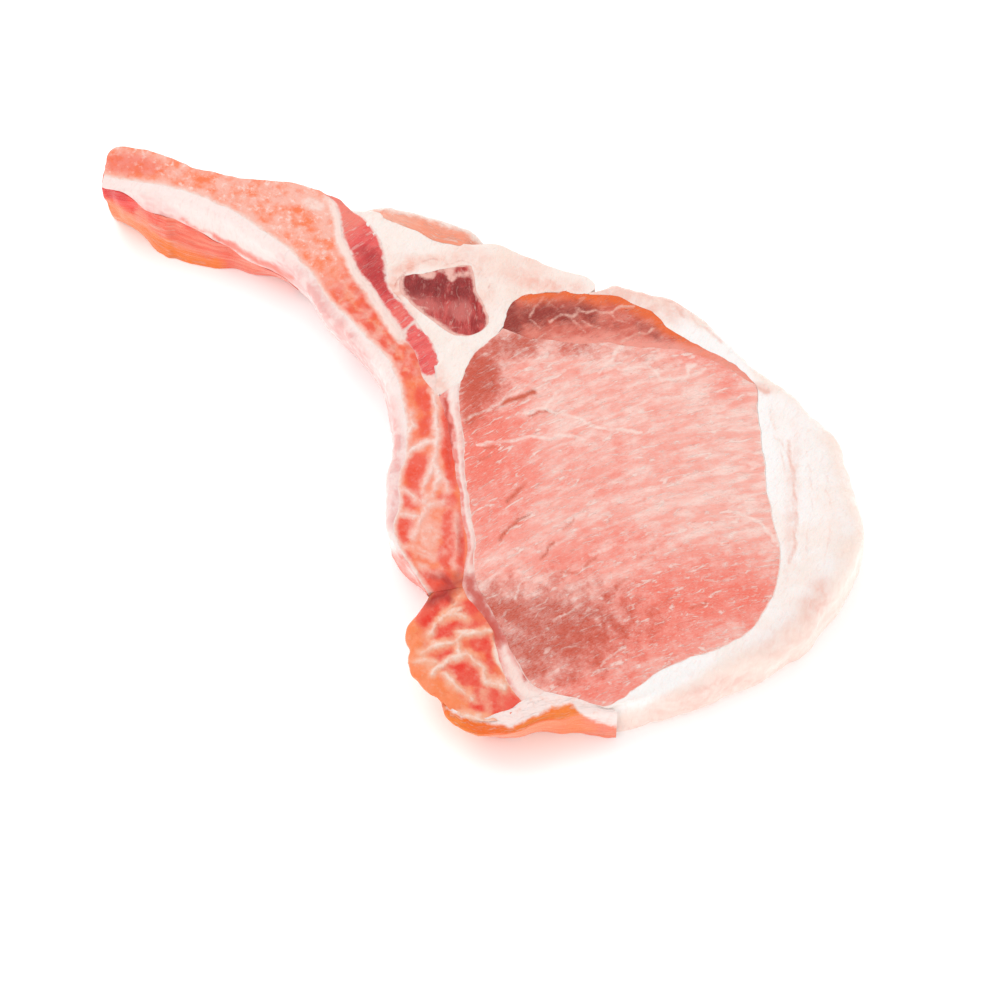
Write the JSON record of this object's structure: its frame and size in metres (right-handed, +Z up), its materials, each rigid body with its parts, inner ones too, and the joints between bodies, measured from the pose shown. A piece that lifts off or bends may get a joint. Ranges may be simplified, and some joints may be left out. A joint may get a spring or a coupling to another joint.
{
  "type": "raw veal rib chop",
  "caption": "Raw veal rib chop lying flat: pale loin eye with a dark cap muscle, a curved fat cap, a sawn rib with its long bare end, and the chine foot.",
  "frame": {"origin": "centre of the bounding box in plan, on the table the chop lies on", "axes": "+X runs from the rib tip towards the fat cap, along the longest extent; +Z is up, out of the upper cut face; +Y completes the frame, towards the cap muscle"},
  "size_m": [0.2076, 0.1191, 0.0234],
  "materials": {
    "lean": "moist, satin",
    "dark_lean": "moist, satin",
    "fat": "waxy, satin",
    "bone": "sawn, porous",
    "membrane": "smooth, moist"
  },
  "bodies": {
    "root": {"loin_eye": "lean", "cap_muscle": "dark_lean", "fat_cap": "fat", "fat_wedge_left": "fat", "fat_wedge_back": "fat", "fat_wedge_side": "fat", "fat_wedge_low": "fat", "seam_fat": "fat", "dark_muscle": "dark_lean", "side_strip_upper": "dark_lean", "side_strip_lower": "dark_lean", "back_strip": "lean", "rib_bone": "bone", "rib_lining": "membrane", "rib_meat": "lean", "chine_bone": "bone", "edge_strip": "lean"}
  },
  "joints": []
}
